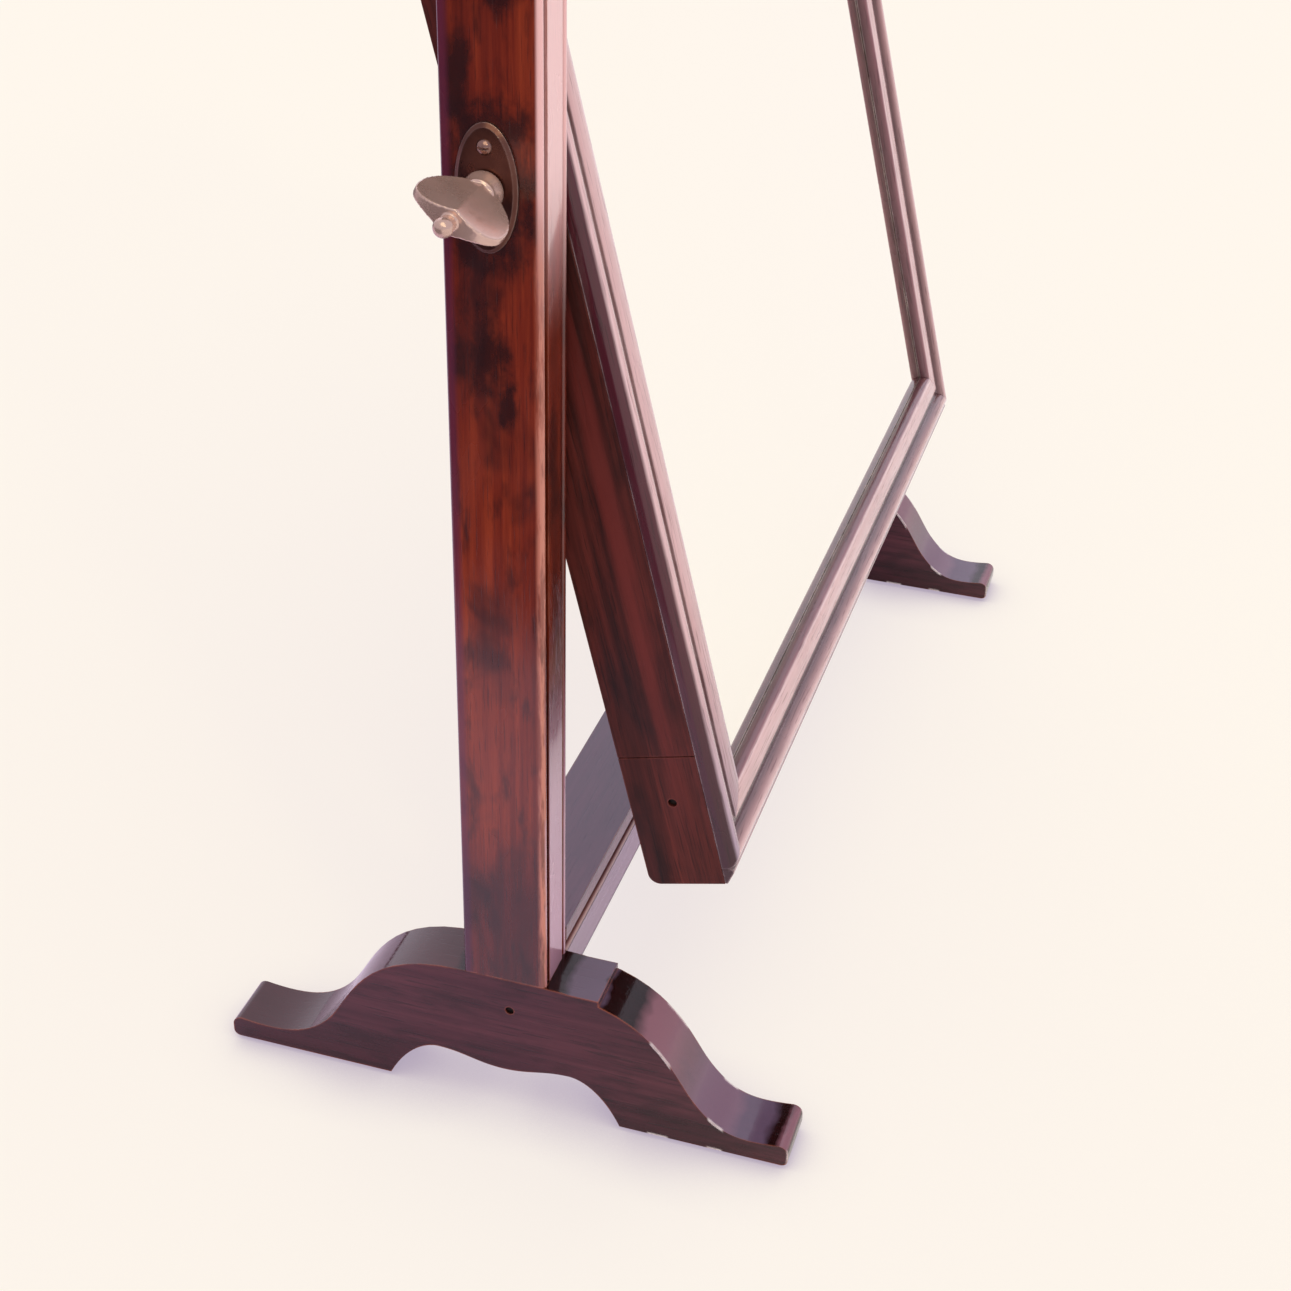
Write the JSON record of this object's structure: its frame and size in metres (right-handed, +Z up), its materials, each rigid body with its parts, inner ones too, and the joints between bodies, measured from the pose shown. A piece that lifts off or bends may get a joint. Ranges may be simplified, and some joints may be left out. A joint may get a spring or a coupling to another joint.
{
  "type": "dressing table mirror",
  "caption": "Table-top swing mirror: a deep moulded frame pivots between two square posts on bracket feet, clamped by winged thumb screws.",
  "frame": {"origin": "on the table surface, midway between the feet, at the middle of the base's outline", "axes": "+Z up, the glass faces -Y, +X towards the viewer's right when looking into the glass from the front"},
  "size_m": [0.5088, 0.214, 0.5958],
  "materials": {
    "post_mahogany": "French-polished, streaky red-brown, worn edges",
    "foot_mahogany": "French-polished, dark red-brown, worn edges",
    "stretcher_mahogany": "French-polished, dark",
    "frame_mahogany": "French-polished, dark with a lighter streak",
    "moulding_mahogany": "French-polished, rubbed pale on its crowns and dark in its groove",
    "pine": "bare, aged",
    "looking_glass": "silvered plate glass",
    "plate_brass": "bronzed by age, bright at the rim",
    "screw_brass": "tarnished",
    "thumb_nickel": "worn nickel on brass, softly polished",
    "iron": "dark, dull",
    "leather": "dark, compressed"
  },
  "bodies": {
    "stand": {"left_foot": "foot_mahogany", "right_foot": "foot_mahogany", "left_post": "post_mahogany", "right_post": "post_mahogany", "stretcher": "stretcher_mahogany", "joint_pins": "iron", "foot_glides": "iron", "left_oval_plate": "plate_brass", "right_oval_plate": "plate_brass", "left_oval_plate_screws": "screw_brass", "right_oval_plate_screws": "screw_brass"},
    "mirror": {"left_stile": "frame_mahogany", "right_stile": "frame_mahogany", "top_rail": "frame_mahogany", "bottom_rail": "frame_mahogany", "left_moulding": "moulding_mahogany", "right_moulding": "moulding_mahogany", "top_moulding": "moulding_mahogany", "bottom_moulding": "moulding_mahogany", "mirror_glass": "looking_glass", "glass_blocks": "pine", "backboard": "pine", "backboard_nails": "iron", "corner_pins": "iron", "left_pivot_plate": "plate_brass", "right_pivot_plate": "plate_brass", "pivot_plate_screws": "screw_brass", "left_washer": "leather", "right_washer": "leather"},
    "left_thumb": {"left_thumb_screw": "thumb_nickel"},
    "right_thumb": {"right_thumb_screw": "thumb_nickel"}
  },
  "joints": [
    {"name": "mirror_tilt", "type": "hinge", "parent": "stand", "child": "mirror", "pos_m": [0, -0.001, 0.346], "axis": [1, 0, 0], "continuous": true},
    {"name": "left_thumb_turn", "type": "hinge", "parent": "mirror", "child": "left_thumb", "pos_m": [-0.21875, -0.001, 0.346], "axis": [-1, 0, 0], "range_deg": [0, 270]},
    {"name": "right_thumb_turn", "type": "hinge", "parent": "mirror", "child": "right_thumb", "pos_m": [0.21875, -0.001, 0.346], "axis": [1, 0, 0], "range_deg": [0, 270]}
  ]
}
